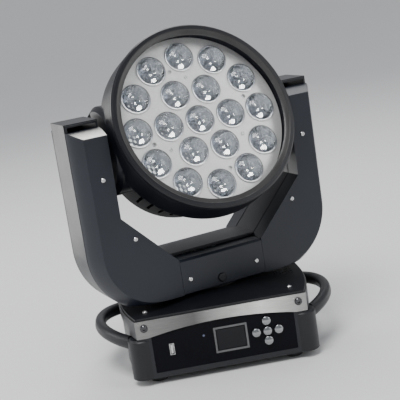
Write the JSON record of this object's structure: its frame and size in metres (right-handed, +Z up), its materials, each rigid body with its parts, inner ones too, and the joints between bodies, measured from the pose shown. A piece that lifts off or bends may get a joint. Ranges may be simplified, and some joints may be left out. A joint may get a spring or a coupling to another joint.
{
  "type": "moving head light",
  "caption": "Moving head wash light: a round lens head tilts in a panning U-shaped yoke on a low base with a menu panel and side handles.",
  "frame": {"origin": "on the pan axis, in the mounting plane at the underside of the base plate, at the centre of the bracket holes", "axes": "+Z up, -Y towards the menu panel, +X to the right of someone facing the menu panel"},
  "size_m": [0.356, 0.2519, 0.4514],
  "materials": {
    "steel_black": "satin black powder coat",
    "rubber": "matte",
    "black_paint": "satin, fine texture",
    "black_plastic": "fine moulded grain",
    "screw_steel": "bright zinc",
    "silver_trim": "brushed along its length",
    "screw_black": "black oxide",
    "handle_plastic": "satin moulded",
    "panel_black": "satin",
    "display_grey": "satin",
    "display_glass": "gloss",
    "button_silver": "silvered",
    "indicator": "translucent",
    "socket_blue": "satin",
    "socket_black": "satin",
    "zinc_plate": "plain sheet",
    "circuit_board": "solder mask",
    "machined_steel": "turned",
    "machined_aluminium": "machined",
    "cover_plastic": "satin, fine moulded grain",
    "motor_black": "satin",
    "head_plastic": "satin, fine moulded grain",
    "ring_plastic": "semi-gloss",
    "lens_plate_silver": "silvered",
    "lens_clear": "polished",
    "circuit_white": "solder mask",
    "fan_plastic": "moulded",
    "wire_steel": "plated"
  },
  "bodies": {
    "base": {"base_frame": "steel_black", "rubber_feet": "rubber", "base_shell": "black_paint", "base_top_cover": "black_plastic", "top_cover_screws": "screw_steel", "trim_front": "silver_trim", "trim_rear": "silver_trim", "trim_bolts": "screw_black", "corner_guards": "black_plastic", "handle_left": "handle_plastic", "handle_right": "handle_plastic", "front_panel": "panel_black", "display_frame": "display_grey", "display_glass": "display_glass", "usb_port": "screw_steel", "status_light": "indicator", "rear_panel": "panel_black", "power_sockets": "socket_blue", "data_sockets": "socket_black", "power_supply": "zinc_plate", "control_board": "circuit_board", "pan_spindle": "machined_steel", "pan_pulley": "machined_aluminium"},
    "button_up": {"button_up": "button_silver"},
    "button_down": {"button_down": "button_silver"},
    "button_left": {"button_left": "button_silver"},
    "button_right": {"button_right": "button_silver"},
    "button_enter": {"button_enter": "button_silver"},
    "yoke": {"yoke_frame": "black_paint", "arm_cover_front_left": "cover_plastic", "arm_cover_front_right": "cover_plastic", "arm_cover_rear_left": "cover_plastic", "arm_cover_rear_right": "cover_plastic", "centre_cover_front": "cover_plastic", "centre_cover_rear": "cover_plastic", "cover_screws": "screw_steel", "yoke_bearings": "machined_steel", "pan_motor": "motor_black", "pan_belt": "rubber", "tilt_motor": "motor_black", "tilt_belt": "rubber"},
    "pan_lock": {"pan_lock_button": "black_plastic"},
    "pan_drive_wheel": {"pan_motor_pulley": "machined_aluminium"},
    "tilt_drive_wheel": {"tilt_motor_pulley": "machined_aluminium"},
    "head": {"head_drum": "head_plastic", "head_rear_cover": "head_plastic", "front_ring": "ring_plastic", "led_board": "circuit_white", "head_chassis": "machined_aluminium", "heat_sink": "machined_aluminium", "tilt_pulley": "machined_aluminium", "zoom_motors": "motor_black", "fan_frame": "fan_plastic", "fan_grille": "wire_steel"},
    "lens_carriage": {"lens_plate": "lens_plate_silver", "lenses": "lens_clear", "lens_plate_screws": "screw_steel"},
    "zoom_screw_right": {"zoom_screw_right": "machined_steel"},
    "zoom_screw_left": {"zoom_screw_left": "machined_steel"},
    "fan": {"fan_rotor": "fan_plastic"}
  },
  "joints": [
    {"name": "pan", "type": "hinge", "parent": "base", "child": "yoke", "pos_m": [0, 0, 0.111], "axis": [0, 0, 1], "range_deg": [-289.67, 250.33]},
    {"name": "tilt", "type": "hinge", "parent": "yoke", "child": "head", "pos_m": [0, 0, 0.2972], "axis": [0.9416, 0.3366, 0], "range_deg": [-200.8, 69.2]},
    {"name": "zoom", "type": "slide", "parent": "head", "child": "lens_carriage", "axis": [0.307, -0.8589, 0.4099], "range_m": [-0.012, 0.008]},
    {"name": "fan_spin", "type": "hinge", "parent": "head", "child": "fan", "pos_m": [-0.02149, 0.06012, 0.26851], "axis": [0.307, -0.8589, 0.4099], "continuous": true},
    {"name": "pan_drive", "type": "hinge", "parent": "yoke", "child": "pan_drive_wheel", "pos_m": [-0.10358, -0.03703, 0.121], "axis": [0, 0, 1], "range_deg": [-1250, 1400]},
    {"name": "tilt_drive", "type": "hinge", "parent": "yoke", "child": "tilt_drive_wheel", "pos_m": [0.14125, 0.05049, 0.146], "axis": [0.9416, 0.3366, 0], "range_deg": [-800, 300]},
    {"name": "zoom_drive_right", "type": "hinge", "parent": "head", "child": "zoom_screw_right", "pos_m": [0.06554, 0.03188, 0.31491], "axis": [0.307, -0.8589, 0.4099], "range_deg": [-560, 380]},
    {"name": "zoom_drive_left", "type": "hinge", "parent": "head", "child": "zoom_screw_left", "pos_m": [-0.06554, -0.03188, 0.27949], "axis": [0.307, -0.8589, 0.4099], "range_deg": [-560, 380]},
    {"name": "pan_lock_press", "type": "slide", "parent": "yoke", "child": "pan_lock", "axis": [-0.3366, 0.9416, 0], "range_m": [0, 0.002]},
    {"name": "press_up", "type": "slide", "parent": "base", "child": "button_up", "axis": [0, 1, 0], "range_m": [0, 0.0008]},
    {"name": "press_down", "type": "slide", "parent": "base", "child": "button_down", "axis": [0, 1, 0], "range_m": [0, 0.0008]},
    {"name": "press_left", "type": "slide", "parent": "base", "child": "button_left", "axis": [0, 1, 0], "range_m": [0, 0.0008]},
    {"name": "press_right", "type": "slide", "parent": "base", "child": "button_right", "axis": [0, 1, 0], "range_m": [0, 0.0008]},
    {"name": "press_enter", "type": "slide", "parent": "base", "child": "button_enter", "axis": [0, 1, 0], "range_m": [0, 0.0008]}
  ],
  "couplings": [
    {"joint": "pan_drive", "follows": "pan", "ratio": -4.75},
    {"joint": "tilt_drive", "follows": "tilt", "ratio": 3.875},
    {"joint": "zoom_drive_right", "follows": "zoom", "rad_per_m": 785.4},
    {"joint": "zoom_drive_left", "follows": "zoom", "rad_per_m": 785.4}
  ]
}
